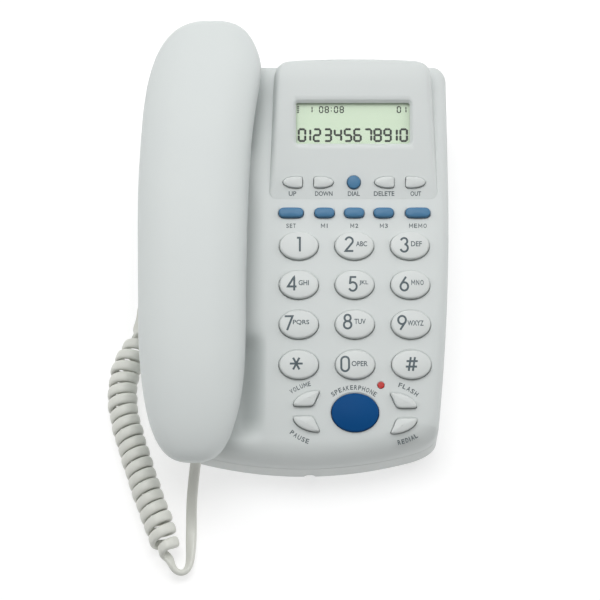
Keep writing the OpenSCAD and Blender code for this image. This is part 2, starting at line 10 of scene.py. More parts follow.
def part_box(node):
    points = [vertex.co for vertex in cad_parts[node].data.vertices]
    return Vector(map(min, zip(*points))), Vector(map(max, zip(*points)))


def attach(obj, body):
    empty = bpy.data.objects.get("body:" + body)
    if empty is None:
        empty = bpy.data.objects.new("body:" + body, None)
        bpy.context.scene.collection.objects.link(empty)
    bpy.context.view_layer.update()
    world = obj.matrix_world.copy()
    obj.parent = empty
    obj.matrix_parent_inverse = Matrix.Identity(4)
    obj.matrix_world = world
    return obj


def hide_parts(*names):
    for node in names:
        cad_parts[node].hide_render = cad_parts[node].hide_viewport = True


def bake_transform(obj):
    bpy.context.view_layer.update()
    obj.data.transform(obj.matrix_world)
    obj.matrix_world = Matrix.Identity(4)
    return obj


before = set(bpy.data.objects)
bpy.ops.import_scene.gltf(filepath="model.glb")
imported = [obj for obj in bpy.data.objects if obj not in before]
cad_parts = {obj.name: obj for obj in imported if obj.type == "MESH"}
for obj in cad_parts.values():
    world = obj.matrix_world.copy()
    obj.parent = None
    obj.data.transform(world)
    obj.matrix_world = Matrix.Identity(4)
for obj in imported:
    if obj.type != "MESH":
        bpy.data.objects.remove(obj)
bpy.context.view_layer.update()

# Lengths are in millimetres, and metres() turns them into metres.
MM = 0.001

# ---- shape of the base, as in the CAD source ----
BASE_CX = 3.6
HALF_W = 71.9
FRONT_Y = -105
REAR_Y = 95
SPLIT_Z = 16
FOOT_H = 3
WALL = 2.3
SCREWS = [(-55, -66), (63.9, -76), (-56, 60), (67, 86)]
FEET = [(-48, -86), (55, -88), (-58, 82), (64, 68)]
DECK_TILT = math.radians(9.5)
DECK_Y, DECK_Z = -31, 40
DECK_CURVE = 3200
HOOD_TILT = math.radians(17)
HOOD_Y, HOOD_Z = 24, 48.3
HOOD_X = (-13.2, 70)
HOOD_REAR = 94.4
TROUGH_X = -18.5
LAMP_AT = (41, -68.5)
# The middle of the display window, up the hood's slope from its front edge.
WINDOW_UP = 38.3

# ---- keys and print ----
# The gap round a key, and how much smaller its outline is than in the CAD.
KEY_GAP = 0.22
TRIM = 0.4
# How far the keys stand out of the deck and of the hood, and how far they reach below.
PROUD, HOOD_PROUD, KEY_FOOT = 2.4, 1.8, -5.0
# Heights of letters on keys and beside them; extra width and radius of a straight row of letters.
LETTER_H, LABEL_H = 2.6, 2.2
SPREAD, STRAIGHT = 1.08, 4000

# ---- shape of the handset ----
HS_TILT = math.radians(8.4)
HS_Y, HS_Z = -0.2, 58.5
HS_HALF = 111.5
SEAM_T = -3
HS_WALL = 2
# How far the cups' middles are from the handset's middle.
CUP_S = 70

# ---- route of the cord ----
COIL_PATH = [(-77.5, -30), (-80.5, -39.5), (-84.5, -53), (-85.3, -66), (-83.5, -77), (-80.5, -87.5),
             (-77.3, -97.5), (-73.8, -108), (-70.3, -118), (-66.4, -128), (-62.8, -138), (-60.2, -147)]
COIL_Z = 7.75
BASE_LEAD = [(-70.6, -14, 10), (-73, -14.1, 10), (-75.6, -15.6, 9.6), (-77, -18.6, 8.9),
             (-77.1, -22.5, 8.2), (-77, -26.5, 7.8), (-77.5, -29.9, 7.75)]
HANDSET_LEAD = [(-60, -147.6, 7.4), (-59.7, -149.8, 6.3), (-58.4, -151.8, 5), (-56.2, -153, 3.9),
                (-53.8, -152.8, 3.1), (-51.8, -151, 2.8), (-50.7, -147.8, 2.7), (-50.3, -143.5, 2.7),
                (-50.2, -138, 2.7), (-50.2, -131, 2.9), (-50.2, -124.5, 5), (-49.9, -118.5, 9.4),
                (-49.2, -113, 14.8), (-48.4, -108.4, 20.2), (-47.7, -105, 24.6), (-47.3, -103, 27.9),
                (-47.1, -101.9, 29.9)]
CORD_W, CORD_T = 5.2, 2.8
HELIX_R = 6.0
PITCH = 5.85
AXIS_STEP, COIL_STEP, LEAD_STEP = 0.18, 0.75, 0.6
UP = np.array([0.0, 0.0, 1.0])

# Edges sharper than this many degrees are not shaded smooth.
SHARP = 38

scene = bpy.context.scene


# ---- small helpers ----

def metres(p):
    return Vector(p) * MM


def power(v, n):
    """v to the power n, with its sign kept."""
    return math.copysign(abs(v) ** n, v)


def smooth_step(x, a, b):
    q = np.clip((np.asarray(x, float) - a) / (b - a), 0, 1)
    return q * q * (3 - 2 * q)


def soft_min(a, b, k):
    """The smaller of a and b, with a rounded changeover about k wide."""
    h = np.clip(0.5 + 0.5 * (b - a) / k, 0, 1)
    return b * (1 - h) + a * h - k * h * (1 - h)


def tidy_mesh(mesh, angle):
    for polygon in mesh.polygons:
        polygon.use_smooth = True
    mesh.set_sharp_from_angle(angle=math.radians(angle))


def new_object(name, data):
    obj = bpy.data.objects.new(name, data)
    scene.collection.objects.link(obj)
    return obj


def mesh_object(name, verts, faces, *materials, angle=SHARP, outward=True):
    """A mesh object in metres from points in millimetres."""
    mesh = bpy.data.meshes.new(name)
    mesh.from_pydata([metres(v) for v in verts], [], faces)
    if outward:
        bm = bmesh.new()
        bm.from_mesh(mesh)
        bmesh.ops.recalc_face_normals(bm, faces=bm.faces)
        bm.to_mesh(mesh)
        bm.free()
    tidy_mesh(mesh, angle)
    for m in materials:
        mesh.materials.append(m)
    return new_object(name, mesh)


def evaluated_mesh(obj):
    return bpy.data.meshes.new_from_object(obj.evaluated_get(bpy.context.evaluated_depsgraph_get()))


def bake(obj, angle=SHARP):
    """Applies the modifiers of obj."""
    bpy.context.view_layer.update()
    done = evaluated_mesh(obj)
    obj.modifiers.clear()
    obj.data = done
    tidy_mesh(done, angle)


def solidify(obj, thickness):
    m = obj.modifiers.new("wall", "SOLIDIFY")
    m.thickness, m.offset, m.use_even_offset = thickness * MM, -1, True
    bake(obj)


def cut(obj, cutters, angle=SHARP):
    """Cuts closed solids, given as (points, faces) in millimetres, out of obj."""
    verts, faces = joined(cutters)
    tool = mesh_object("cutter", verts, faces)
    m = obj.modifiers.new("cut", "BOOLEAN")
    m.operation, m.solver, m.object = "DIFFERENCE", "EXACT", tool
    bake(obj, angle)
    bpy.data.objects.remove(tool)


def joined(parts):
    """One (points, faces) pair from several."""
    verts, faces = [], []
    for v, f in parts:
        faces += [[i + len(verts) for i in face] for face in f]
        verts += [tuple(p) for p in v]
    return verts, faces


def grid_faces(rows, cols, wrap=False):
    faces = []
    for i in range(rows - 1):
        for j in range(cols if wrap else cols - 1):
            k = (j + 1) % cols
            faces.append([i * cols + j, i * cols + k, (i + 1) * cols + k, (i + 1) * cols + j])
    return faces


def loft(rings, cap_start=True, cap_end=True):
    """(points, faces) of a skin over closed rings that all have the same number of points."""
    n = len(rings[0])
    verts = [tuple(p) for r in rings for p in r]
    faces = grid_faces(len(rings), n, wrap=True)
    if cap_start:
        faces.append(list(range(n))[::-1])
    if cap_end:
        faces.append([(len(rings) - 1) * n + j for j in range(n)])
    return verts, faces


def lathe(profile, centre, n, place=None):
    """(points, faces) of a solid of revolution about Z from (radius, height) pairs."""
    rings = []
    for r, z in profile:
        ring = [(x, y, z) for x, y in ellipse(2 * r, 2 * r, n)]
        rings.append([place(p) if place else tuple(np.add(p, centre)) for p in ring])
    return loft(rings)


def smooth_path(points, step):
    """Points about step apart along a Catmull-Rom curve through the given ones."""
    p = np.array(points, float)
    p = np.vstack([2 * p[0] - p[1], p, 2 * p[-1] - p[-2]])
    out = []
    for i in range(1, len(p) - 2):
        for u in np.linspace(0, 1, 24, endpoint=False):
            a, b, c, d = p[i - 1:i + 3]
            out.append(0.5 * (2 * b + (c - a) * u + (2 * a - 5 * b + 4 * c - d) * u ** 2
                              + (3 * b - a - 3 * c + d) * u ** 3))
    out.append(p[-2])
    return even(np.array(out), step)


def distances(line):
    """How far along a line each of its points is."""
    return np.concatenate([[0], np.cumsum(np.linalg.norm(np.diff(line, axis=0), axis=1))])


def unit(rows):
    return rows / np.linalg.norm(rows, axis=1)[:, None]


def smoothed(rows, passes):
    """The rows, with all but the first and last drawn towards their neighbours."""
    rows = rows.copy()
    for _ in range(passes):
        rows[1:-1] = 0.25 * rows[:-2] + 0.5 * rows[1:-1] + 0.25 * rows[2:]
    return rows


def even(line, step):
    """The same line with points an even step apart."""
    far = distances(line)
    s = np.linspace(0, far[-1], max(2, round(far[-1] / step) + 1))
    return np.column_stack([np.interp(s, far, line[:, k]) for k in range(line.shape[1])])


def arc(cx, cy, rx, ry, a0, a1, n):
    """Points on an ellipse's arc from a0 to a1 degrees."""
    return [(cx + rx * math.cos(math.radians(a)), cy + ry * math.sin(math.radians(a)))
            for a in np.linspace(a0, a1, n)]


def rounded_box(x0, y0, x1, y1, r):
    """A rectangle with corners of radius r about the points (x0, y0) to (x1, y1)."""
    corners = ((x1, y1, 0), (x0, y1, 90), (x0, y0, 180), (x1, y0, 270))
    return [p for x, y, turn in corners for p in arc(x, y, r, r, turn, turn + 90, 6)]


def ellipse(w, d, n):
    a = np.arange(n) * 2 * math.pi / n
    return np.column_stack([w / 2 * np.cos(a), d / 2 * np.sin(a)])


def loop_normals(loop):
    """Outward unit normals of a closed anticlockwise loop."""
    t = unit(np.roll(loop, -1, 0) - np.roll(loop, 1, 0))
    return np.column_stack([t[:, 1], -t[:, 0]])


def softened_loop(loop, n, radius):
    """The loop as n even points, with corners rounded to about that radius."""
    closed = np.vstack([loop, loop[:1]])
    far = distances(closed)
    s = np.linspace(0, far[-1], n, endpoint=False)
    loop = np.column_stack([np.interp(s, far, closed[:, k]) for k in (0, 1)])
    step = np.linalg.norm(loop[1] - loop[0])
    for _ in range(int((radius / step) ** 2) + 1):
        loop = 0.25 * np.roll(loop, 1, 0) + 0.5 * loop + 0.25 * np.roll(loop, -1, 0)
    return loop


# ---- materials ----

GRAIN = 2600


def put(node, **values):
    """Sets a shader node's input sockets. In a name, _ stands for a space."""
    for socket, value in values.items():
        node.inputs[socket.replace("_", " ")].default_value = value


def shader(name, colour, roughness, alt=None, patch=40, bump=0.02, gloss_patch=0.06, **sockets):
    """Moulded plastic and the like: a base colour that drifts towards alt, fine grain and uneven gloss."""
    m = bpy.data.materials.new(name)
    m.use_nodes = True
    nodes, links = m.node_tree.nodes, m.node_tree.links
    surface = nodes["Principled BSDF"]
    place = nodes.new("ShaderNodeTexCoord").outputs["Object"]

    def noise(scale, detail):
        n = nodes.new("ShaderNodeTexNoise")
        put(n, Scale=scale, Detail=detail)
        links.new(place, n.inputs["Vector"])
        return n.outputs["Fac"]

    tone = nodes.new("ShaderNodeMix")
    tone.data_type = "RGBA"
    links.new(noise(patch, 3), tone.inputs["Factor"])
    put(tone, A=(*colour, 1), B=(*(alt or [c * 0.94 for c in colour]), 1))
    links.new(tone.outputs["Result"], surface.inputs["Base Color"])
    gloss = nodes.new("ShaderNodeMapRange")
    links.new(noise(patch * 6, 4), gloss.inputs["Value"])
    put(gloss, To_Min=roughness - gloss_patch, To_Max=roughness + gloss_patch)
    links.new(gloss.outputs["Result"], surface.inputs["Roughness"])
    relief = nodes.new("ShaderNodeBump")
    put(relief, Strength=bump, Distance=0.0004)
    links.new(noise(GRAIN, 2), relief.inputs["Height"])
    links.new(relief.outputs["Normal"], surface.inputs["Normal"])
    put(surface, **sockets)
    return m


CASE = shader("case_plastic", (0.62, 0.65, 0.64), 0.48, alt=(0.595, 0.63, 0.625), bump=0.12)
CASE_LOW = shader("lower_case_plastic", (0.60, 0.63, 0.62), 0.46, bump=0.16)
HAND = shader("handset_plastic", (0.62, 0.655, 0.645), 0.5, alt=(0.6, 0.635, 0.63), bump=0.08)
KEY = shader("key_plastic", (0.625, 0.655, 0.645), 0.36, bump=0.05)
BLUE = shader("blue_plastic", (0.06, 0.19, 0.34), 0.4, alt=(0.05, 0.165, 0.305), bump=0.05,
              Specular_IOR_Level=0.35)
DEEP_BLUE = shader("deep_blue_plastic", (0.002, 0.068, 0.225), 0.5, alt=(0.0015, 0.056, 0.195), bump=0.05,
                   Specular_IOR_Level=0.08)
RED = shader("red_lens", (0.5, 0.02, 0.015), 0.25, bump=0.02, Specular_IOR_Level=0.3)
CORD = shader("cord_vinyl", (0.69, 0.70, 0.65), 0.38, alt=(0.655, 0.665, 0.615), bump=0.1)
RUBBER = shader("rubber", (0.03, 0.03, 0.032), 0.75, bump=0.3)
DARK = shader("dark_plastic", (0.035, 0.036, 0.04), 0.45, bump=0.12)
STEEL = shader("plated_steel", (0.62, 0.62, 0.63), 0.25, bump=0.05, Metallic=1.0)
BOARD = shader("board_green", (0.02, 0.12, 0.05), 0.35, patch=120, bump=0.05)
MAT = shader("silicone_mat", (0.12, 0.125, 0.13), 0.6, bump=0.15)
CELL = shader("cell_sleeve", (0.35, 0.22, 0.05), 0.3, bump=0.03)
PLUG = shader("clear_plug", (0.66, 0.69, 0.67), 0.16, bump=0.03, Transmission_Weight=0.35)
PANEL = shader("display_panel", (0.66, 0.795, 0.61), 0.5, alt=(0.63, 0.765, 0.58), bump=0.02)
SEGMENT = shader("display_segment", (0.006, 0.01, 0.008), 0.6, bump=0.02, Specular_IOR_Level=0.15)
LENS = shader("display_lens", (0.9, 0.96, 0.88), 0.12, gloss_patch=0.02, bump=0.0,
              Specular_IOR_Level=0.25, Alpha=0.04)
INK = shader("legend_ink", (0.075, 0.105, 0.12), 0.55, bump=0.05)
INK_SOFT = shader("label_ink", (0.075, 0.1, 0.11), 0.55, bump=0.05)


# ---- camera ----
# The view of the photograph: from the front and 66 degrees up, with a long lens.
CAMERA_AT = (2.1, -433.7, 954.2)
CAMERA_TARGET = (2.1, -27, 40.7)
camera = new_object("camera", bpy.data.cameras.new("camera"))
scene.camera = camera
camera.data.sensor_width = 36
camera.data.lens = 123.6
camera.data.clip_start, camera.data.clip_end = 0.01, 20
camera.location = metres(CAMERA_AT)
camera.rotation_euler = (metres(CAMERA_TARGET) - camera.location).to_track_quat("-Z", "Y").to_euler()


# ---- cord ----

def coil_helix():
    """Centre line of the coiled stretch, and the direction of the coil's axis along it."""
    axis = smooth_path([(x, y, COIL_Z) for x, y in COIL_PATH], AXIS_STEP)
    along = unit(np.gradient(axis, axis=0))
    side = np.cross(along, UP)
    far = np.arange(len(axis)) * AXIS_STEP
    total = far[-1]
    # The turns are further apart and narrower towards both ends, and vary a little in between.
    pitch = PITCH * (1 + 0.25 * smooth_step(far, total - 26, total) + 0.12 * (1 - smooth_step(far, 10, 34)))
    turn = np.concatenate([[0], np.cumsum(AXIS_STEP / (0.5 * (pitch[1:] + pitch[:-1])))]) * 2 * math.pi
    radius = HELIX_R * smooth_step(far, -1.2, 3.2) * (1 - 0.8 * smooth_step(far, total - 10, total + 2))
    radius = radius * (0.4 + 0.6 * smooth_step(far, -2, 17))
    radius = radius * (1 + 0.025 * np.sin(turn * 0.37) * smooth_step(far, 4, 9))
    helix = axis + radius[:, None] * (np.cos(turn)[:, None] * -side + np.sin(turn)[:, None] * UP)
    return helix, along


def square_to(tangent, width):
    """The part of each width that is square to the tangent there."""
    return width - (width * tangent).sum(1)[:, None] * tangent


def cord_line():
    """The cord's centre line, its tangents and the directions of its flat width: lead, helix, lead."""
    helix, along = coil_helix()
    coil = even(helix[12:], COIL_STEP)
    start, end = smooth_path(BASE_LEAD[:-1], LEAD_STEP), smooth_path(HANDSET_LEAD, LEAD_STEP)
    line = smoothed(np.vstack([start, coil, end[1:]]), 3)
    first, last = len(start), len(start) + len(coil)
    # No kink where the coil meets a lead.
    for joint in (first, last):
        near = np.arange(joint - 20, joint + 21)
        fade = 0.5 * np.hanning(len(near))[:, None]
        for _ in range(60):
            line[near] += fade * (0.5 * (line[near - 1] + line[near + 1]) - line[near])
    tangent = unit(np.gradient(line, axis=0))
    flat = unit(np.cross(tangent, UP))
    # The cord turns on its edge through the tight bend after the coil.
    walked = np.arange(len(end) - 1) * LEAD_STEP
    edge = (math.radians(62) * (1 - smooth_step(walked, 10, 36)))[:, None]
    flat[last:] = np.cos(edge) * flat[last:] + np.sin(edge) * np.cross(flat[last:], tangent[last:])
    # In the coil the flat width lies along the coil's axis.
    u, v = np.linspace(0, 1, len(coil)), np.linspace(0, 1, len(along))
    mid = np.column_stack([np.interp(u, v, along[:, k]) for k in range(3)])
    width = square_to(tangent, np.vstack([flat[:first], mid, flat[last:]]))
    for i in range(1, len(width)):
        if width[i] @ width[i - 1] < 0:
            width[i] *= -1
    return line, tangent, unit(square_to(tangent, smoothed(width, 30)))


def make_cord():
    line, tangent, width = cord_line()
    thin = np.cross(tangent, width)
    turns = [2 * math.pi * (k + 0.5) / 14 for k in range(14)]
    section = [(power(math.cos(a), 0.8), power(math.sin(a), 0.7)) for a in turns]
    verts, faces = loft([[p + w * CORD_W / 2 * a + h * CORD_T / 2 * b for a, b in section]
                         for p, w, h in zip(line, width, thin)])
    cord = mesh_object("handset_cord", verts, faces, CORD, angle=60)
    length = float(np.linalg.norm(np.diff(line, axis=0), axis=1).sum()) * MM
    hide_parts("cord_coil", "cord_base_lead", "cord_handset_lead")
    metres((-77.5, -30, 8))
    metres((-30.2, -44.2, 8))
    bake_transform(cord)
    metres(BASE_LEAD[0])
    [metres(p) for p in line]


make_cord()


# ---- surfaces of the base ----

def deck(y):
    """Height of the deck, which is slightly arched."""
    return DECK_Z + math.tan(DECK_TILT) * (y - DECK_Y) - (y - DECK_Y) ** 2 / DECK_CURVE


def hood_face(y):
    """Height of the hood, which turns down a little near its rear edge."""
    return HOOD_Z + math.tan(HOOD_TILT) * (y - HOOD_Y) - 0.011 * np.maximum(0, y - 80) ** 2


def side_x(y):
    return HALF_W - max(0, 33 - y) ** 2 / 2166


def front_at(x):
    return FRONT_Y + x * x / 380


def bezier(a, b, c, n):
    a, b, c = (np.array(p, float) for p in (a, b, c))
    return [(1 - u) ** 2 * a + 2 * u * (1 - u) * b + u * u * c for u in np.linspace(0, 1, n)]


def base_loop():
    """Outline of the base in plan, anticlockwise from the middle of the front."""
    front = [(x, front_at(x)) for x in np.arange(0, 50, 2.6)]
    corner = bezier((52, front_at(52)), (side_x(-97), front_at(64)), (side_x(-88), -88), 16)
    side = [(side_x(y), y) for y in np.arange(-84, 86, 3.4)]
    r = 7
    rear = [(HALF_W - r + r * math.cos(a), REAR_Y - r + r * math.sin(a))
            for a in np.linspace(0, math.pi / 2, 10)]
    back = [(x, REAR_Y) for x in np.arange(60, 2, -3)]
    half = [tuple(p) for p in front + corner + side + rear + back]
    left = [(-x, y) for x, y in reversed(half[1:])]
    return np.array(half + [(0, REAR_Y)] + left) + (BASE_CX, 0)


LOOP = base_loop()
LOOP_N = loop_normals(LOOP)


def edge_radius(ny):
    """Radius of the rounded rim: large along the front and small along the rear."""
    return 5 + 4 * np.maximum(0, -ny) ** 2 - 2.5 * np.maximum(0, ny) ** 2


def hs_point(x, s, t):
    return (x, HS_Y + s * math.cos(HS_TILT) - t * math.sin(HS_TILT),
            HS_Z + s * math.sin(HS_TILT) + t * math.cos(HS_TILT))


def cradle_floor():
    """Height of the cradle's floor along Y: two wells for the handset's cups and a raised middle."""
    corners = [(-125, -5), (-110, -6.5), (-88.8, -22.8), (-50, -22.8), (-46, -19), (46, -19), (50, -22.8),
               (88.8, -22.8), (110, -6.5), (125, -5)]
    s = np.arange(-125, 125, 0.5)
    t = np.interp(s, *zip(*corners))
    kernel = np.hanning(11) / np.hanning(11).sum()
    t = np.convolve(np.pad(t, 5, mode="edge"), kernel, "valid")
    points = np.array([hs_point(0, a, b) for a, b in zip(s, t)])
    return points[:, 1], points[:, 2]


FLOOR_Y, FLOOR_Z = cradle_floor()


def case_height(x, y, inset, ny):
    """Height of the upper case at a point that lies inset within its outline."""
    top = deck(y)
    floor = soft_min(np.interp(y, FLOOR_Y, FLOOR_Z), top, 3.0)
    # Between the two wells the wall is a long gentle slope.
    gentle = smooth_step(y, -50, -36) * (1 - smooth_step(y, 34, 50))
    foot = TROUGH_X - 8 - 1.5 * smooth_step(y, 30, 50) - 12 * gentle
    crest = TROUGH_X + 5 - 1.5 * smooth_step(y, 15, 55)
    q = np.clip((x - foot) / (crest - foot), 0, 1)
    steep = smooth_step(y, 10, 45)
    rise = (1 - steep) * q * q * (3 - 2 * q) + steep * (1 - (1 - q) ** 2.2)
    z = floor + (top - floor) * rise
    r = edge_radius(ny)
    a = np.maximum(0, r - inset)
    return z - (r - np.sqrt(r * r - a * a))


def grid_within(columns, rows, loop, normals, least):
    """Grid points deeper than least within a loop, how deep, and the loop's nearest points."""
    points = np.column_stack([g.ravel() for g in np.meshgrid(columns, rows)])
    near = np.hypot(points[:, :1] - loop[:, 0], points[:, 1:] - loop[:, 1]).argmin(1)
    depth = ((loop[near] - points) * normals[near]).sum(1)
    keep = depth > least
    return points[keep], depth[keep], near[keep]


def triangulated(xy, n):
    """Triangles within the loop that the first n points make, and the points that they use."""
    edges = [(i, (i + 1) % n) for i in range(n)]
    _, _, triangles, origin, _, _ = geometry.delaunay_2d_cdt([Vector(p) for p in xy], edges, [], 1, 1e-5)
    return [list(t) for t in triangles], [o[0] for o in origin]


def upper_shell():
    """Outer surface of the upper case: rings round the rim and a grid within."""
    insets = [0, 0.12, 0.4, 0.85, 1.5, 2.3, 3.3, 4.6]
    n = len(LOOP)
    rims = [LOOP - LOOP_N * d for d in insets]
    columns = np.concatenate([np.arange(-66, -28, 2.4), np.arange(TROUGH_X - 9, TROUGH_X + 6, 0.75),
                              np.arange(-11.5, 74, 2.4)])
    points, inside, near = grid_within(columns, np.arange(-104, 95, 2.2), LOOP, LOOP_N, 5.6)
    xy, depth = np.vstack(rims + [points]), np.concatenate([np.repeat(insets, n), inside])
    ny = np.concatenate([LOOP_N[:, 1]] * len(insets) + [LOOP_N[near, 1]])
    faces, index = triangulated(xy, n)
    z = case_height(xy[:, 0], xy[:, 1], depth, ny)
    verts = [(xy[i, 0], xy[i, 1], z[i]) for i in index]
    ring = {i: k for k, i in enumerate(index) if i < n}
    last = [ring[i] for i in range(n)]
    for inset, low in ((0, SPLIT_Z + 0.25), (0.2, SPLIT_Z + 0.08)):
        new = list(range(len(verts), len(verts) + n))
        verts += [(*(LOOP[i] - LOOP_N[i] * inset), low) for i in range(n)]
        faces += [[last[i], new[i], new[(i + 1) % n], last[(i + 1) % n]] for i in range(n)]
        last = new
    return verts, faces


def tilted(tilt, x, b=0, h=0, y=0, z=0):
    """Maps (a, b, h) in a plane tilted about X to the frame: b runs up the slope and h square to it."""
    c, s = math.cos(tilt), math.sin(tilt)
    return lambda p: (x + p[0], y + (b + p[1]) * c - (h + p[2]) * s, z + (b + p[1]) * s + (h + p[2]) * c)


def opening(loop, place, low=-8.0, lip=0.4, above=0.5):
    """A cutter for a key opening, with a rounded lip where it meets the surface."""
    normals = loop_normals(loop)
    levels = [(KEY_GAP, low), (KEY_GAP, -lip)]
    levels += [(KEY_GAP + lip * (1 - math.cos(a)), -lip + lip * math.sin(a)) for a in (0.5, 0.95, 1.3)]
    levels += [(KEY_GAP + lip + 0.25, 0.02), (KEY_GAP + lip + 0.25, above)]
    return loft([[place((*(p + q * g), h)) for p, q in zip(loop, normals)] for g, h in levels])


def box_cutter(a, b):
    (x0, y0, z0), (x1, y1, z1) = a, b
    base = [(x0, y0), (x1, y0), (x1, y1), (x0, y1)]
    return loft([[(x, y, z0) for x, y in base], [(x, y, z1) for x, y in base]])


# ---- where the keys are ----

def top_face(node, tilt):
    """Centre and outline of a key's top, measured on its CAD node, in the tilted plane's own axes."""
    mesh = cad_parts[node].data
    points = np.array([v.co for v in mesh.vertices]) / MM
    c, s = math.cos(tilt), math.sin(tilt)
    height = -points[:, 1] * s + points[:, 2] * c
    top = points[height > height.max() - 0.01]
    b = top[:, 1] * c + top[:, 2] * s
    centre = np.array([(top[:, 0].min() + top[:, 0].max()) / 2, (b.min() + b.max()) / 2])
    flat = np.column_stack([top[:, 0], b])
    return centre, flat, height.max()


def outline_of(flat, centre):
    """The points of a top face in order round its centre."""
    p = np.unique(np.round(flat - centre, 3), axis=0)
    p = p[np.hypot(*p.T) > 0.5]
    return p[np.argsort(np.arctan2(p[:, 1], p[:, 0]))]


DIAL = [f"key_{sign}" for sign in (*range(1, 10), "star", 0, "hash")]
PILLS = ["key_set", "key_m1", "key_m2", "key_m3", "key_memo"]
CORNERS = ["key_volume", "key_pause", "key_flash", "key_redial"]
HOOD_KEYS = ["key_up", "key_down", "key_dial", "key_delete", "key_out"]


def key_place(node):
    """The frame of a key at its surface, and its outline there."""
    tilt = HOOD_TILT if node in HOOD_KEYS else DECK_TILT
    (cx, cb), flat, top = top_face(node, tilt)
    place = tilted(tilt, cx, cb, top - (HOOD_PROUD if node in HOOD_KEYS else PROUD))
    if node in DIAL or node in ("key_speaker", "key_dial"):
        size = flat.max(0) - flat.min(0) - 2 * TRIM
        return place, ellipse(*size, 72)
    radius = 2.5 if node in CORNERS else 1.5 if node in PILLS else 1.2
    loop = softened_loop(outline_of(flat, (cx, cb)), 96, radius)
    return place, loop - loop_normals(loop) * TRIM


KEYS = {node: key_place(node) for node in DIAL + PILLS + CORNERS + HOOD_KEYS + ["key_speaker"]}


# ---- upper case ----

def make_upper_case():
    case = mesh_object("upper_case", *upper_shell(), CASE)
    solidify(case, WALL)
    cutters = [opening(loop, place) for node, (place, loop) in KEYS.items() if node not in HOOD_KEYS]
    cutters += [opening(loop, place, -7, 0.1, 4) for node, (place, loop) in KEYS.items() if node in HOOD_KEYS]
    x, y = LAMP_AT
    cutters.append(opening(ellipse(3.0, 3.0, 32), tilted(DECK_TILT, x, y=y, z=deck(y)), lip=0.3))
    # Room for the display under the hood.
    cutters.append(box_cutter((-9, 38, 30), (66, 88, 70)))
    # A shallow seat leaves a fine joint line round the hood.
    loop = hood_loop()
    loop = loop + loop_normals(loop) * 0.28
    cutters.append(loft([[(x, y, deck(y) + h) for x, y in loop] for h in (-0.5, 3)]))
    # Openings for the line jack, the ringer switch and the hook plunger.
    cutters += [box_cutter((-16.2, 88, 18.8), (-3.8, 99, 29.7)),
                box_cutter((57.4, 88, 20.3), (66.6, 99, 24.3)),
                box_cutter((-46.5, 66, 30), (-33.5, 74, 60))]
    cut(case, cutters)
    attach(case, "base")
    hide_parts("base_upper_case")


# ---- lower case ----

def make_lower_case():
    def ring(inset, z):
        return [(*(p - q * inset), z) for p, q in zip(LOOP, LOOP_N)]

    rings = [ring(2.6, SPLIT_Z), ring(0.35, SPLIT_Z), ring(0, SPLIT_Z - 0.35), ring(0, FOOT_H + 1.6),
             ring(0.45, FOOT_H + 0.5), ring(1.5, FOOT_H)]
    outer, faces = loft(rings, cap_start=False)
    inner, inner_faces = loft([ring(2.6, SPLIT_Z), ring(2.6, FOOT_H + WALL)], cap_start=False)
    n = len(LOOP)
    offset = len(outer)
    verts = outer + inner[n:]
    faces += [[i if i < n else i - n + offset for i in f] for f in inner_faces]
    case = mesh_object("lower_case", verts, faces, CASE_LOW)
    cutters = [lathe([(1.7, 0), (1.7, 12)], (x, y, 0), 24) for x, y in SCREWS]
    # The battery door, the cord's jack and the notch in front of the microphone.
    cutters += [box_cutter((7.9, 43, 0), (51.1, 99, 5.2)), box_cutter((-75, -19.2, 5.8), (-60, -8.8, 14.4)),
                loft([[(6.8 + a * w, b, z) for a, b in ((-1, -108), (1, -108), (1, -101.5), (-1, -101.5))]
                      for z, w in ((2, 3.6), (4.6, 2.8), (6.2, 1.9), (6.9, 0.9))])]
    # The slots under the loudspeaker.
    r = 1.2
    for i in range(-3, 4):
        x, half = 30.2 + 6 * i, 15 - 2 * abs(i)
        slot = [(r * math.cos(a), math.copysign(half - r, math.sin(a)) + r * math.sin(a))
                for a in np.linspace(0.08, 2 * math.pi - 0.08, 24)]
        cutters.append(loft([[(x + a, b - 33, z) for a, b in slot] for z in (1, 7)]))
    cut(case, cutters)
    # The door's grooves, and the opening to the tray above it.
    cut(case, [box_cutter((5.9, 43, 3.9), (53.1, 99, 5.2))])
    cut(case, [box_cutter((6.2, 43.3, 4.5), (52.8, 92, 6))])
    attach(case, "base")
    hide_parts("base_lower_case")


def make_battery_tray():
    """The tray round the cells, open below, as one closed skin."""
    def ring(x0, y0, x1, y1, z):
        return [(*p, z) for p in rounded_box(x0 + 1, y0 + 1, x1 - 1, y1 - 1, 1)]

    inner, outer = (9.5, 43.6, 49.5, 91.4), (4.5, 41.4, 54.5, 92.3)
    verts, faces = loft([ring(*inner, 17), ring(*inner, 5.2), ring(*outer, 5.2), ring(*outer, 18.4)])
    tray = mesh_object("battery_tray", verts, faces, CASE_LOW)
    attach(tray, "base")


# ---- display hood ----

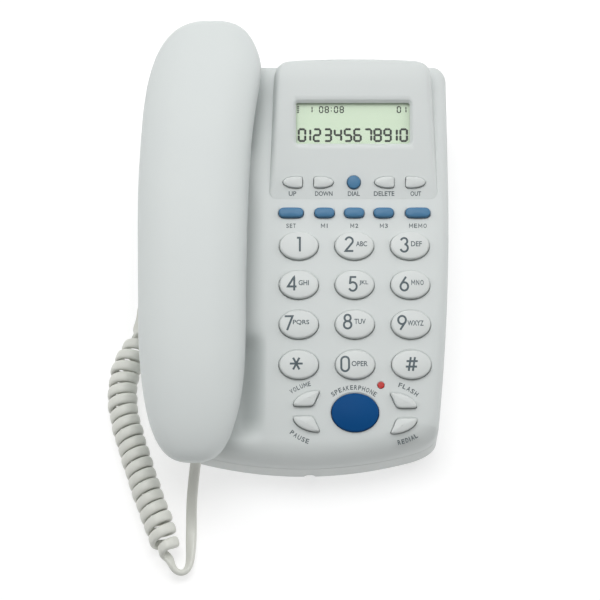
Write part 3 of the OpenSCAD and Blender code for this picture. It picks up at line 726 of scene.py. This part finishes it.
def hood_loop():
    """Outline of the hood in plan, anticlockwise: straight front, tapering sides, arched rear."""
    left_x, right_x = HOOD_X
    mid = (left_x + right_x) / 2
    corner_y, turn_x = HOOD_Y + 4.6, right_x - 12

    def side_of(y):
        return right_x - 2.2 * (y - HOOD_Y) / 60

    def rear_y(x):
        return HOOD_REAR - 0.05 - 0.00096 * (x - mid) ** 2

    front = [(x, HOOD_Y) for x in np.arange(left_x + 5.6, right_x - 5, 2.5)]
    corner = bezier((right_x - 4.6, HOOD_Y), (right_x, HOOD_Y), (side_of(corner_y), corner_y), 9)
    side = [(side_of(y), y) for y in np.arange(HOOD_Y + 6.6, HOOD_REAR - 8, 2.5)]
    turn = bezier(side[-1], (side_of(HOOD_REAR - 2), HOOD_REAR - 1.5), (turn_x, rear_y(turn_x)), 12)
    rear = [(x, rear_y(x)) for x in np.arange(right_x - 14, mid, -2.5)]
    half = [tuple(p) for p in corner + side + turn[1:] + rear]
    left = [(2 * mid - x, y) for x, y in reversed(half)]
    return np.array(front + half + [(mid, rear_y(mid))] + left)


def hood_shell():
    """Outer surface of the hood: rings along its sides and rear and a grid within."""
    loop = hood_loop()
    normals = loop_normals(loop)
    side = np.array([abs(q[1] + 1) > 0.3 for q in normals])
    insets = [0, 0.25, 0.6, 1.1, 1.7, 2.5, 3.4]
    points, depth = [], []
    for k, d in enumerate(insets):
        p = loop - normals * d
        p[:, 1] = np.maximum(p[:, 1], HOOD_Y + 0.15 * k)
        points.append(p)
        depth.append(np.where(side, d, 5.0))
    within, inside, _ = grid_within(np.arange(-14, 72, 2.6), np.arange(26, 95, 2.4),
                                    loop[side], normals[side], 4.2)
    xy, depth = np.vstack(points + [within]), np.concatenate(depth + [inside])
    faces, index = triangulated(xy, len(loop))
    y = xy[:, 1]
    low = deck(y) + 0.04
    q = np.clip(depth / insets[-1], 0, 1)
    z = low + (hood_face(y) - low) * (1 - (1 - q) ** 2.3) ** (1 / 2.3)
    return [(xy[i, 0], xy[i, 1], z[i]) for i in index], faces


def window_frame():
    """The frame of the display window at its centre, and the width of the lens in it."""
    (x0, _, _), (x1, _, _) = (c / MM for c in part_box("lcd_lens"))
    return tilted(HOOD_TILT, (x0 + x1) / 2, WINDOW_UP, y=HOOD_Y, z=HOOD_Z), x1 - x0


def make_hood():
    hood = mesh_object("display_hood_cover", *hood_shell(), CASE)
    solidify(hood, 2)
    cutters = [opening(loop, place, -6, 0.35) for node, (place, loop) in KEYS.items() if node in HOOD_KEYS]
    place, lens_w = window_frame()
    w, d, r = lens_w - 4, 20.6, 1.2
    x, y = w / 2 - r, d / 2 - r
    levels = [(0, -8), (0, -1.5), (0.25, -1.35), (1.1, -0.2), (1.5, 0.02), (1.5, 2)]
    cutters.append(loft([[place((*p, h)) for p in rounded_box(-x, -y, x, y, r + g)] for g, h in levels]))
    cut(hood, cutters)
    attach(hood, "base")
    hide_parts("display_hood")


# ---- keys ----

def key_cap(node, material, top, crown, edge):
    """A key as a closed cap: straight sides, a rounded edge and a softly crowned top."""
    place, loop = KEYS[node]
    normals = loop_normals(loop)
    rings = [loop, loop]
    heights = [KEY_FOOT, top - crown - edge]
    for a in np.linspace(0.3, math.pi / 2, 5):
        rings.append(loop - normals * edge * (1 - math.cos(a)))
        heights.append(top - crown - edge + edge * math.sin(a))
    inner = rings[-1]
    middle = inner.mean(0)
    for share in (0.86, 0.68, 0.46, 0.22):
        rings.append(middle + (inner - middle) * share)
        heights.append(top - crown * share ** 2)
    local = [[(*p, h) for p in ring] for ring, h in zip(rings, heights)]
    verts, faces = loft(local)
    shape = BVHTree.FromPolygons([Vector(v) for v in verts], faces)
    cap = mesh_object(node + "_cap", [place(v) for v in verts], faces, material)
    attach(cap, node)
    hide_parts(node)
    return cap, shape, place


def add_part(obj, verts, faces, material):
    """Joins more geometry, in millimetres, into obj with its own material."""
    bm = bmesh.new()
    bm.from_mesh(obj.data)
    obj.data.materials.append(material)
    made = [bm.verts.new(metres(v)) for v in verts]
    for f in faces:
        face = bm.faces.new([made[i] for i in f])
        face.material_index = len(obj.data.materials) - 1
        face.smooth = False
    bm.to_mesh(obj.data)
    bm.free()


# ---- legends ----

# Strokes of the dial characters in a box 4.4 wide and 7 high.
STROKES = {
    "0": [arc(0, 5.3, 1.85, 1.85, 0, 180, 14) + arc(0, 1.85, 1.85, 1.85, 180, 360, 14) + [(1.85, 5.3)]],
    "1": [[(-1.1, 6.95), (0.35, 6.95), (0.35, 0)]],
    "2": [arc(0, 5.15, 1.75, 1.85, 170, -32, 18) + [(-1.9, 0.05), (2.0, 0.05)]],
    "3": [arc(0, 5.3, 1.55, 1.65, 165, -80, 16), arc(0, 1.9, 1.8, 1.9, 85, -165, 18)],
    "4": [[(1.0, 0), (1.0, 6.95), (-2.1, 2.0), (2.1, 2.0)]],
    "5": [[(1.7, 6.95), (-1.0, 6.95), (-1.35, 3.9)] + arc(0, 2.2, 1.9, 2.15, 128, -155, 20)],
    "6": [[(0.9, 6.95), (-1.45, 3.3)], arc(0, 2.05, 1.85, 2.05, 90, 450, 26)],
    "7": [[(-1.9, 6.95), (1.9, 6.95), (-0.7, 0)]],
    "8": [arc(0, 5.25, 1.5, 1.65, 90, 450, 22), arc(0, 1.85, 1.8, 1.85, 90, 450, 24)],
    "9": [arc(0, 4.95, 1.85, 2.05, 90, 450, 26), [(1.45, 3.7), (-0.9, 0.05)]],
    "*": [[(-3.1, 3.5), (3.1, 3.5)], [(-1.5, 6.4), (1.5, 0.6)], [(1.5, 6.4), (-1.5, 0.6)]],
    "#": [[(-2.5, 4.9), (2.9, 4.9)], [(-2.9, 2.2), (2.5, 2.2)], [(-0.4, 6.9), (-1.5, 0.1)],
          [(1.6, 6.9), (0.5, 0.1)]],
}


def stroke_part(points, width, lift):
    """(points, faces) of a flat printed stroke along a line. lift(x, y, top) gives the height."""
    line = np.array(points, float)
    closed = np.hypot(*(line[0] - line[-1])) < 1e-6
    pieces = [even(line[i:i + 2], 0.7)[:-1] for i in range(len(line) - 1)]
    line = np.vstack(pieces + [line[-1:]])
    step = unit(np.diff(line, axis=0))
    before = np.vstack([step[-1:] if closed else step[:1], step])
    after = np.vstack([step, step[:1] if closed else step[-1:]])
    mean = unit(before + after)
    reach = width / 2 / np.clip((mean * after).sum(1), 0.55, 1)
    side = np.column_stack([-mean[:, 1], mean[:, 0]]) * reach[:, None]
    rings = [[(*(p + q), 1), (*(p - q), 1), (*(p - q), 0), (*(p + q), 0)] for p, q in zip(line, side)]
    return loft([[lift(x, y, top) for x, y, top in r] for r in rings])


def text_part(text, height, width, lift, centre=(0, 0), turn=0.0):
    """(points, faces) of printed capitals of that height and width, turned about their centre."""
    curve = bpy.data.curves.new("text", "FONT")
    curve.body, curve.size = text, 1.0
    curve.extrude, curve.resolution_u, curve.offset = 0.01, 3, 0.016
    holder = new_object("text", curve)
    mesh = evaluated_mesh(holder)
    c, s = math.cos(turn), math.sin(turn)
    co = np.array([v.co for v in mesh.vertices])
    low, high = co.min(0), co.max(0)
    verts = []
    for x, y, z in (co - (low + high) / 2) * (width / (high[0] - low[0]), height / (high[1] - low[1]), 1):
        verts.append(lift(centre[0] + x * c - y * s, centre[1] + x * s + y * c, 1 if z > 0 else 0))
    faces = [list(p.vertices) for p in mesh.polygons]
    bpy.data.objects.remove(holder)
    bpy.data.meshes.remove(mesh)
    bpy.data.curves.remove(curve)
    return verts, faces


def print_height(top):
    """Height of print over its surface: its top, or its foot just under the surface."""
    return 0.05 if top else -0.1


def on_cap(shape, place):
    """Lift for print on a key's top."""
    def lift(x, y, top):
        hit = shape.ray_cast(Vector((x, y, 20)), Vector((0, 0, -1)))[0]
        return place((x, y, (hit.z if hit else 0) + print_height(top)))
    return lift


def on_surface(height):
    """Lift for print on the deck or the hood, where x and y are the frame's own."""
    return lambda x, y, top: (x, y, height(y) + print_height(top))


# For each dial key: where its sign stands, its letters, where they stand and how wide they are.
LEGENDS = [
    ((0.2, 0.2), "", (0, 0), 0), ((-2.5, 0.4), "ABC", (3.5, 0.5), 5.4), ((-2.8, 0.1), "DEF", (3.2, 0.5), 5.3),
    ((-3.2, 0.3), "GHI", (2.4, 0.6), 5.0), ((-0.9, 0.1), "JKL", (4.4, 0.5), 4.4),
    ((-3.0, 0.3), "MNO", (3.4, 0.7), 6.1), ((-4.9, 0.4), "PQRS", (1.1, 0.6), 7.9),
    ((-3.5, 1.2), "TUV", (2.5, 1.1), 5.5), ((-4.3, 0.5), "WXYZ", (2.2, 0.3), 7.8),
    ((-1.2, 0.3), "", (0, 0), 0), ((-4.8, 0.1), "OPER", (2.2, 0.2), 7.8), ((0.1, 0.1), "", (0, 0), 0)]


def make_keys():
    for node, sign, ((x, y), letters, letters_at, width) in zip(DIAL, "123456789*0#", LEGENDS):
        cap, shape, place = key_cap(node, KEY, PROUD, 0.35, 0.9)
        lift = on_cap(shape, place)
        parts = [stroke_part([(a + x, b + y - 3.6) for a, b in line], 0.98, lift) for line in STROKES[sign]]
        if "M" in letters:
            parts += arched(letters, LETTER_H, width * SPREAD, letters_at, 0, STRAIGHT, lift)
        elif letters:
            parts.append(text_part(letters, LETTER_H, width, lift, letters_at))
        add_part(cap, *joined(parts), INK)
    for node in PILLS:
        key_cap(node, BLUE, PROUD, 0.25, 0.8)[0]
    for node in CORNERS:
        key_cap(node, KEY, PROUD, 0.25, 0.7)[0]
    for node in HOOD_KEYS:
        finish, slot = (BLUE, "key_blue") if node == "key_dial" else (KEY, "key_grey")
        key_cap(node, finish, HOOD_PROUD, 0.2, 0.6)[0]
    key_cap("key_speaker", DEEP_BLUE, PROUD, 1.1, 0.8)[0]


def arched(text, height, length, middle, turn, radius, lift, crowned=True):
    """Letters along an arc of that length through middle, where the line has the angle turn in degrees."""
    widths = [{"I": 0.5, "1": 0.7, "M": 1.25, "O": 1.1, "U": 1.05}.get(c, 1.0) for c in text]
    scale = length / sum(widths)
    side = 1 if crowned else -1
    up = math.radians(turn + 90)
    centre = np.array(middle) - side * radius * np.array([math.cos(up), math.sin(up)])
    along = -length / 2
    parts = []
    for letter, width in zip(text, widths):
        angle = up - side * (along + width * scale / 2) / radius
        point = centre + side * radius * np.array([math.cos(angle), math.sin(angle)])
        drawn = scale * (0.2 if letter in "I1" else width * 0.74)
        if letter == "M":
            shape = [(-0.43, -0.5), (-0.43, 0.5), (0, -0.2), (0.43, 0.5), (0.43, -0.5)]
            c, s = math.cos(angle - math.pi / 2), math.sin(angle - math.pi / 2)
            line = [point + (a * drawn * c - b * height * s, a * drawn * s + b * height * c)
                    for a, b in shape]
            parts.append(stroke_part(line, 0.3, lift))
        else:
            parts.append(text_part(letter, height, drawn, lift, point, angle - math.pi / 2))
        along += width * scale
    return parts


def make_labels():
    hood_parts, parts = [], []
    words = (("UP", 3.7), ("DOWN", 8.6), ("DIAL", 5.9), ("DELETE", 10.1), ("OUT", 5.3))
    for node, (word, width) in zip(HOOD_KEYS, words):
        x, y, _ = KEYS[node][0]((0, -5.6, 0))
        hood_parts.append(text_part(word, LABEL_H, width, on_surface(hood_face), (x, y)))
    words = (("SET", 4.7), ("M1", 3.8), ("M2", 4.1), ("M3", 4.1), ("MEMO", 8.6))
    for node, (word, width) in zip(PILLS, words):
        x, y, _ = KEYS[node][0]((0, -6.6, 0))
        parts += arched(word, LABEL_H, width * SPREAD, (x, y), 0, STRAIGHT, on_surface(deck))
    x, y, _ = KEYS["key_speaker"][0]((0, 0, 0))
    for word, length, at, turn, radius, crowned in (
            ("SPEAKERPHONE", 23.4, (-0.5, 12.1), 0, 17.5, True), ("VOLUME", 11, (-26.4, 12.4), 23, 26, True),
            ("FLASH", 10.9, (25.8, 11.4), -29, 26, True), ("PAUSE", 10.4, (-26.7, -11.7), -29, 26, False),
            ("REDIAL", 10.5, (25.1, -12.8), 21, 26, False)):
        middle = (x + at[0], y + at[1])
        parts += arched(word, LABEL_H, length, middle, turn, radius, on_surface(deck), crowned)
    for name, group in (("deck_labels", parts), ("hood_labels", hood_parts)):
        labels = mesh_object(name, *joined(group), INK_SOFT, outward=False)
        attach(labels, "base")


# ---- display ----

# The lit bars of each digit, by their usual letters.
SEVEN = {"0": "abcdef", "1": "bc", "2": "abged", "3": "abgcd", "4": "fgbc", "5": "afgcd", "6": "afgecd",
         "7": "abc", "8": "abcdefg", "9": "abcdfg"}


def seven_segment(digit, x, y, w, h, t, lift):
    """The lit bars of one digit. w and h are between the bars' middle lines and (x, y) is the centre."""
    gap = t * 0.08
    flat = {"a": h / 2, "g": 0, "d": -h / 2}
    upright = {"f": (-w / 2, 0), "b": (w / 2, 0), "e": (-w / 2, -h / 2), "c": (w / 2, -h / 2)}
    parts = []
    for bar in SEVEN[digit]:
        half, tip = t / 2, t * 0.3
        if bar in flat:
            reach = w - 2 * gap
            p = [(0, 0), (tip, -half), (reach - tip, -half), (reach, 0), (reach - tip, half), (tip, half)]
            ox, oy = x - w / 2 + gap, y + flat[bar]
        else:
            reach = h / 2 - 2 * gap
            p = [(0, 0), (half, tip), (half, reach - tip), (0, reach), (-half, reach - tip), (-half, tip)]
            ox, oy = x + upright[bar][0], y + upright[bar][1] + gap
        parts.append(printed(ox, oy, p, lift))
    return parts


def printed(x, y, outline, lift):
    """A flat print of that outline at (x, y)."""
    return loft([[lift(x + a, y + b, top) for a, b in outline] for top in (0, 1)])


def make_display():
    place = window_frame()[0]

    def lift(x, y, top):
        return place((x, y, -3.46 if top else -3.7))

    parts = []
    across = (-25.2, -22.7, -17.8, -12.4, -7.4, -2.4, 2.3, 7.5, 12.3, 17.2, 20.2, 25.2)
    for digit, x in zip("012345678910", across):
        parts += seven_segment(digit, x, -5.6, 3.2, 5.9, 1.08, lift)
    for digit, x in zip("1080801", (-21.0, -15.7, -12.9, -8.3, -5.5, 22.9, 25.6)):
        parts += seven_segment(digit, x, 7.3, 1.6, 2.9, 0.55, lift)
    for x, w, h, places in ((-10.9, 0.5, 0.5, (6.4, 7.9)), (-27.6, 0.9, 0.6, (5.7, 6.7, 7.7, 8.5))):
        parts += [printed(x, y, ((0, 0), (w, 0), (w, h), (0, h)), lift) for y in places]
    digits = mesh_object("display_digits", *joined(parts), SEGMENT)
    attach(digits, "base")


# ---- handset ----

def soft_table(values, width):
    """A function of s that runs through (s, value) pairs, with its corners softened over width."""
    s = np.arange(-HS_HALF - 10, HS_HALF + 10.25, 0.25)
    kernel = np.hanning(4 * width + 1) / np.hanning(4 * width + 1).sum()
    v = np.convolve(np.pad(np.interp(s, *zip(*values)), 2 * width, mode="edge"), kernel, "valid")
    return lambda x: float(np.interp(x, s, v))


HS_SHIFT = soft_table([(-112, -2.0), (-98, -1.4), (-85, -0.6), (-70, -0.1), (-40, 0), (-10, -0.5), (25, -1.5),
                       (60, -1.6), (90, -1.3), (112, -1.3)], 15)


def hs_half(s, side=0):
    """Half width of the handset at its seam, on the left (-1) or the right (1)."""
    if s > 62:
        h = 27.9 * max(0, 1 - ((s - 62) / 49.5) ** 2.8) ** (1 / 2.8)
    elif s < -29.5:
        h = 26 * max(0, 1 - ((-29.5 - s) / 82) ** 2.75) ** (1 / 2.75)
    else:
        h = 26 + (s + 29.5) * 1.9 / 91.5
    if side > 0:
        h += min(1, h / 9) * (1.5 * math.exp(-((s - 86) / 12) ** 2) - 0.6 * math.exp(-((s - 50) / 25) ** 2))
    return h


def plain_bow(s):
    """X of the handset's bowed middle line in the CAD, which its jack and screws follow."""
    return -49.5 + 0.00045 * (s + 30) ** 2


def hs_bow(s):
    """X of the middle line of the visual shells, a little further to the left."""
    return plain_bow(s) + HS_SHIFT(s)


# Depth of the handset's underside below its seam.
DEPTH = soft_table([(-HS_HALF, 0), (-107, 3.6), (-88, 18.7), (-52, 18.7), (-40, 5.9), (40, 5.9), (52, 18.7),
                    (88, 18.7), (107, 3.6), (HS_HALF, 0)], 3)


def dish(x, s):
    """How far the face of a cup is hollowed at this point."""
    ear = math.hypot(x - hs_bow(CUP_S), s - CUP_S)
    mouth = math.hypot((x - hs_bow(-CUP_S)) / 1.15, s + CUP_S)
    return 1.3 * (1 - smooth_step(ear, 12.5, 16.5)) + 0.9 * (1 - smooth_step(mouth, 10, 14))


def handset_half(upper, inset):
    """Surface of one handset shell as rows across it, from the mouth end to the ear end."""
    rows = []
    share = 1 - inset / HS_HALF
    for a in np.linspace(0.012, math.pi - 0.012, 150):
        s = -HS_HALF * math.cos(a)
        bow = hs_bow(s)
        height = 15 * max(0, 1 - (abs(s) / HS_HALF) ** 3) ** (1 / 3) if upper else max(0.06, DEPTH(s))
        height = max(0.2 * height, height - inset)
        row = []
        for b in np.linspace(0, math.pi, 45):
            c, q = math.cos(b), math.sin(b)
            h = hs_half(s, c)
            if not upper:
                # The cups are a little narrower than the seam.
                h += (hs_half(s) - 2.6 - h) * float(smooth_step(height * q ** 0.62, 1.5, 7))
            h = max(0.2 * h, h - inset) - 0.3 * (1 - q) ** 8
            if upper:
                x = bow + h * power(c, 0.7)
                t = SEAM_T + 0.05 + height * q ** 0.74
            else:
                x = bow + h * power(c, 0.62)
                t = SEAM_T - 0.05 - height * q ** 0.62
                if q > 0.8:
                    t += min(dish(x, s), max(0.0, height - 8))
            row.append(hs_point(x, s * share, t))
        rows.append(row)
    return rows


def handset_shell(name, upper):
    """A closed shell: an outer and an inner surface, joined along the seam and closed at both tips."""
    outer, inner = handset_half(upper, 0), handset_half(upper, HS_WALL)
    rows, cols = len(outer), len(outer[0])
    n = rows * cols
    verts = [p for surface in (outer, inner) for row in surface for p in row]
    faces = grid_faces(rows, cols) + [[i + n for i in f[::-1]] for f in grid_faces(rows, cols)]
    for j in (0, cols - 1):
        for i in range(rows - 1):
            a, b = i * cols + j, (i + 1) * cols + j
            faces.append([a, b, b + n, a + n] if j == 0 else [b, a, a + n, b + n])
    for i in (0, rows - 1):
        row = [i * cols + j for j in range(cols)]
        faces += [row, [k + n for k in row[::-1]], [row[0], row[-1], row[-1] + n, row[0] + n]]
    return mesh_object(name, verts, faces, HAND, angle=50)


def handset_hole(x, s, radius, high):
    """A cutter for a round hole from below the handset up to the height high."""
    return lathe([(radius, -30), (radius, high)], None, 20, lambda p: hs_point(x + p[0], s + p[1], p[2]))


def make_handset():
    for name, upper, node in (("handset_back", True, "handset_outer_shell"),
                              ("handset_front", False, "handset_inner_shell")):
        shell = handset_shell(name, upper)
        if not upper:
            ear, mouth = hs_bow(CUP_S), hs_bow(-CUP_S)
            cutters = [jack_cutter()]
            cutters += [handset_hole(ear + x, CUP_S + y, 1.1, -15) for x, y in ellipse(12, 12, 6)]
            cutters += [handset_hole(mouth + 3 * k, -CUP_S, 0.8, -15) for k in range(-2, 3)]
            cutters += [handset_hole(plain_bow(s), s, 3.3, -6.9) for s in (34, -34)]
            cut(shell, cutters, angle=50)
        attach(shell, "handset")
        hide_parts(node)


def jack_cutter():
    """The opening for the handset's jack, square to the slope of its mouth end."""
    turn, s, t = math.radians(142.3), -102.5, -10.5
    c, q = math.cos(turn), math.sin(turn)
    box = [(-5.4, -4.8), (5.4, -4.8), (5.4, 4.8), (-5.4, 4.8)]
    return loft([[hs_point(plain_bow(s) + x, s + y * c - z * q, t + y * q + z * c) for x, y in box]
                 for z in (-5, 8)])


# ---- nodes that keep their CAD shape ----

# By material, with the width of each node's softened edges.
KEPT = [(PANEL, {"lcd_panel": 0.2}), (LENS, {"lcd_lens": 0.2}), (MAT, {"keypad_mats": 0.2}),
        (BOARD, {"display_board": 0.1, "main_board": 0.1}), (CELL, {"battery_cells": 0.4}),
        (DARK, {"loudspeaker": 0.5, "base_microphone": 0.4, "hook_switch": 0.3, "line_jack": 0.25,
                "cord_jack": 0.25, "ringer_switch": 0.3, "receiver_capsule": 0.4,
                "handset_microphone": 0.4, "handset_jack": 0.25}),
        (STEEL, {"hook_spring": 0.1, "battery_contacts": 0.1, "base_screws": 0.15, "handset_screws": 0.15}),
        (RED, {"status_led": 0.5}), (PLUG, {"base_plug": 0.4, "handset_plug": 0.4}),
        (CASE, {"hook_plunger": 0.5}), (CASE_LOW, {"battery_door": 0.25})]


def finish_node(node, material, width):
    """A CAD node with its own material and softened edges."""
    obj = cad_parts[node]
    obj.data.materials.clear()
    obj.data.materials.append(material)
    weld = obj.modifiers.new("weld", "WELD")
    weld.merge_threshold = 0.00001
    bevel = obj.modifiers.new("soft_edges", "BEVEL")
    bevel.width, bevel.segments, bevel.limit_method = width * MM, 3, "ANGLE"
    bevel.angle_limit = math.radians(40)
    even_shade = obj.modifiers.new("even_shade", "WEIGHTED_NORMAL")
    even_shade.keep_sharp = True
    for polygon in obj.data.polygons:
        polygon.use_smooth = True


def make_feet():
    profile = [(6, FOOT_H), (6, 0.9), (5.7, 0.3), (5.1, 0), (4.3, 0), (4.0, 0.35), (0.4, 0.35)]
    parts = [lathe(profile, (x, y, 0), 40) for x, y in FEET]
    feet = mesh_object("rubber_feet", *joined(parts), RUBBER)
    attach(feet, "base")
    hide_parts("base_feet")


def make_floor():
    size, low = 9000, -0.2
    white = shader("floor_white", (0.5, 0.5, 0.5), 0.8, patch=3, bump=0.02, Emission_Color=(1, 1, 1, 1),
                   Emission_Strength=0.58)
    corners = [(-size, -size, low), (size, -size, low), (size, size, low), (-size, size, low)]
    floor = mesh_object("floor", corners, [[0, 1, 2, 3]], white, outward=False)


def make_lights():
    world = bpy.data.worlds.new("studio")
    world.use_nodes = True
    # The room is a little darker in front of the object than behind it.
    nodes, links = world.node_tree.nodes, world.node_tree.links
    axes = nodes.new("ShaderNodeSeparateXYZ")
    links.new(nodes.new("ShaderNodeTexCoord").outputs["Generated"], axes.inputs["Vector"])
    fade = nodes.new("ShaderNodeMapRange")
    links.new(axes.outputs["Y"], fade.inputs["Value"])
    put(fade, From_Min=-1, To_Min=0.25, To_Max=0.67)
    put(nodes["Background"], Color=(1, 1, 1, 1))
    links.new(fade.outputs["Result"], nodes["Background"].inputs["Strength"])
    scene.world = world
    for name, at, size, power in (("key_light", (-60, 190, 800), 620, 3.3),
                                  ("right_light", (900, 350, 650), 900, 2.4),
                                  ("left_light", (-900, 350, 650), 900, 1.7)):
        light = bpy.data.lights.new(name, "AREA")
        light.shape, light.size, light.energy = "DISK", size * MM, power
        lamp = new_object(name, light)
        lamp.location = metres(at)
        lamp.rotation_euler = (metres((0, 0, 30)) - lamp.location).to_track_quat("-Z", "Y").to_euler()


make_upper_case()
make_lower_case()
make_battery_tray()
make_hood()
make_keys()
make_labels()
make_display()
make_handset()
make_feet()
for finish, edges in KEPT:
    for kept, edge in edges.items():
        finish_node(kept, finish, edge)
make_floor()
make_lights()
scene.view_settings.view_transform = "Standard"
